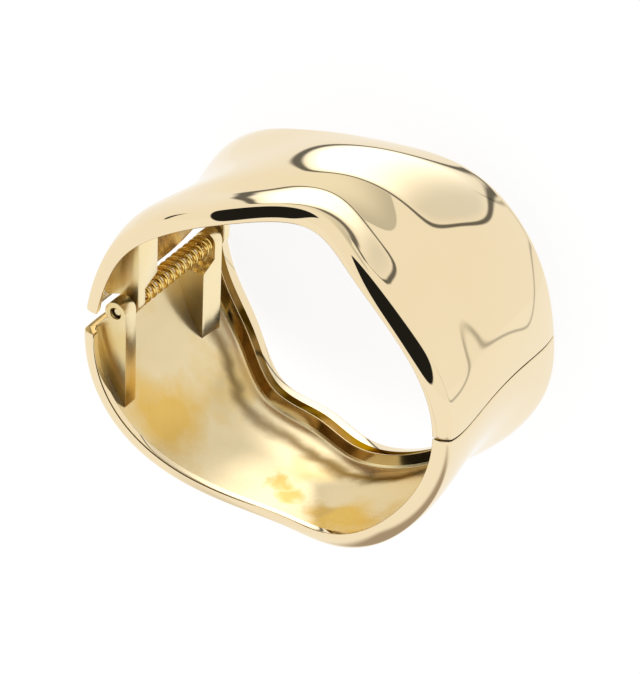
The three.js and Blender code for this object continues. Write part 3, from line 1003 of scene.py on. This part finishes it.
class Sky:
    """The tent as the gold sees it: node helpers for colours by direction."""

    def __init__(self, tree):
        self.tree = tree
        self.axes = camera_axes()
        self.direction = node(tree, "ShaderNodeTexCoord").outputs["Generated"]

    def along(self, parts):
        """The reflected direction's share along a (right, up, backward) direction of the main view."""
        vector = sum((axis * part for axis, part in zip(self.axes, parts)), Vector()).normalized()
        made = node(self.tree, "ShaderNodeVectorMath", {0: self.direction, 1: vector},
                    operation="DOT_PRODUCT")
        return made.outputs["Value"]

    def maths(self, operation, *values):
        return maths(self.tree, operation, *values)

    def smoothstep(self, value, low, high, to_low=0.0, to_high=1.0):
        """to_low where value is low, to_high where it is high; low may be the larger of the two."""
        if low > high:
            low, high, to_low, to_high = high, low, to_high, to_low
        made = node(self.tree, "ShaderNodeMapRange", {"Value": value, "From Min": low, "From Max": high,
                                                      "To Min": to_low, "To Max": to_high},
                    interpolation_type="SMOOTHSTEP")
        return made.outputs["Result"]

    def mix(self, amount, first, second):
        return blend(self.tree, amount, first, second)

    def lit(self, colour, brightness):
        made = node(self.tree, "ShaderNodeVectorMath", {0: colour, "Scale": brightness},
                    operation="SCALE")
        return made.outputs["Vector"]

    def beyond(self, corners, rounding, closed=True):
        """How far a direction is outside a panel (under 0 inside it), its corners rounded.

        A panel that isn't closed has no edge between its last corner and its first.
        """
        points = []
        for right, turn in corners:
            right, turn = math.radians(right), math.radians(turn)
            points.append(Vector((math.sin(right), math.cos(right) * math.sin(turn),
                                  math.cos(right) * math.cos(turn))))
        middle = sum(points, Vector())
        ends = points[1:] + points[:1] if closed else points[1:]
        total = None
        for first, second in zip(points, ends):
            outward = first.cross(second)
            if outward.dot(middle) > 0:
                outward = -outward
            distance = self.along(outward)
            total = distance if total is None else self.maths("SMOOTH_MAX", total, distance, rounding)
        return total

    def line(self, distance, width, core=0.0):
        """1 along a panel's edge and over a core share of a half width from it, fading to 0."""
        return self.smoothstep(self.maths("ABSOLUTE", distance), width, width * core)


def studio():
    """The light tent. Only what the gold reflects has panels in it; the table gets an even light."""
    world = bpy.data.worlds.new("tent")
    bpy.context.scene.world = world
    world.use_nodes = True
    world.cycles.sampling_method = "NONE"
    tree = world.node_tree
    tree.nodes.clear()
    sky = Sky(tree)
    right = sky.along((1.0, 0.0, 0.0))
    backward = sky.along((0.0, 0.0, 1.0))

    table = sky.smoothstep(sky.along(TABLE_UPWARD), TABLE_LEVEL, TABLE_LEVEL - TABLE_FADE)
    colour = sky.mix(table, TENT, MIRRORED_TABLE)
    hem = sky.line(sky.beyond(HEM, HEM_ROUND, closed=False), HEM_WIDTH)
    hem = sky.maths("MULTIPLY", hem, sky.smoothstep(right, *HEM_RIGHT))
    hem = sky.maths("MULTIPLY", hem, sky.smoothstep(backward, *HEM_BACK))
    colour = sky.mix(sky.maths("MULTIPLY", hem, HEM_DARKNESS), colour, DARK)

    card = sky.lit(CARD_COLOUR, sky.smoothstep(right, *CARD_CHANGE, *CARD_GLOW))
    colour = sky.mix(sky.smoothstep(sky.beyond(CARD, CARD_ROUND), 0.0, -CARD_SOFT), colour, card)

    lamp = sky.beyond(LAMP, LAMP_ROUND)
    glow = sky.lit(WHITE, sky.smoothstep(right, *LAMP_CHANGE, *LAMP_GLOW))
    colour = sky.mix(sky.smoothstep(lamp, 0.0, -LAMP_SOFT), colour, glow)
    frame_line = sky.line(lamp, FRAME_WIDTH, FRAME_CORE)
    colour = sky.mix(sky.maths("MULTIPLY", frame_line, FRAME_DARKNESS), colour, DARK)

    front_flag = sky.beyond(FRONT_FLAG, FRONT_FLAG_ROUND)
    colour = sky.mix(sky.smoothstep(front_flag, *FRONT_FLAG_FADE), colour, DARK)
    side_flag = sky.beyond(SIDE_FLAG, SIDE_FLAG_ROUND)
    colour = sky.mix(sky.smoothstep(side_flag, 0.0, -SIDE_FLAG_SOFT), colour, DARK)
    backdrop = sky.beyond(BACKDROP, BACKDROP_ROUND)
    colour = sky.mix(sky.smoothstep(backdrop, 0.0, -BACKDROP_SOFT), colour, BACKDROP_COLOUR)

    tent = node(tree, "ShaderNodeBackground", {"Color": colour, "Strength": 1.0})
    plain = node(tree, "ShaderNodeBackground", {"Color": (*WHITE, 1.0), "Strength": DAYLIGHT})
    path = node(tree, "ShaderNodeLightPath")
    both = node(tree, "ShaderNodeMixShader", {0: path.outputs["Is Glossy Ray"],
                                              1: plain.outputs[0], 2: tent.outputs[0]})
    output = node(tree, "ShaderNodeOutputWorld")
    tree.links.new(both.outputs[0], output.inputs["Surface"])
    bpy.context.scene.view_settings.view_transform = "Standard"


# ---------------------------------------------------------------- the bangle

def finished(obj, body, node_name, materials=()):
    """Gives a piece its materials and its body, smooths it, and hides the CAD node that it stands for.
    """
    for material in materials:
        obj.data.materials.append(material)
    smooth(obj)
    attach(obj, body)
    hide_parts(node_name)


def build():
    """The whole bangle. The halves' metals are in the order of their material slots."""
    polished, cast, spring = polished_gold(), cast_gold(), spring_gold()
    metals = (polished, cast, rear_lip_painted_shade_gold(), lug_gold(), lug_front_gold(), shelf_painted_shade_gold(),
              shelf_edge_painted_highlight_gold())
    upper = half("domed_half", 1, LUGS["upper"], metals)
    finished(upper, "upper_half", "upper_shell")
    lower = half("plain_half", -1, LUGS["lower"], metals)
    finished(lower, "lower_half", "lower_shell")
    finished(hinge_pin(), "lower_half", "hinge_pin", [cast])
    finished(wire_spring(), "lower_half", "spring", [spring])


add_camera()
add_floor()
studio()
build()
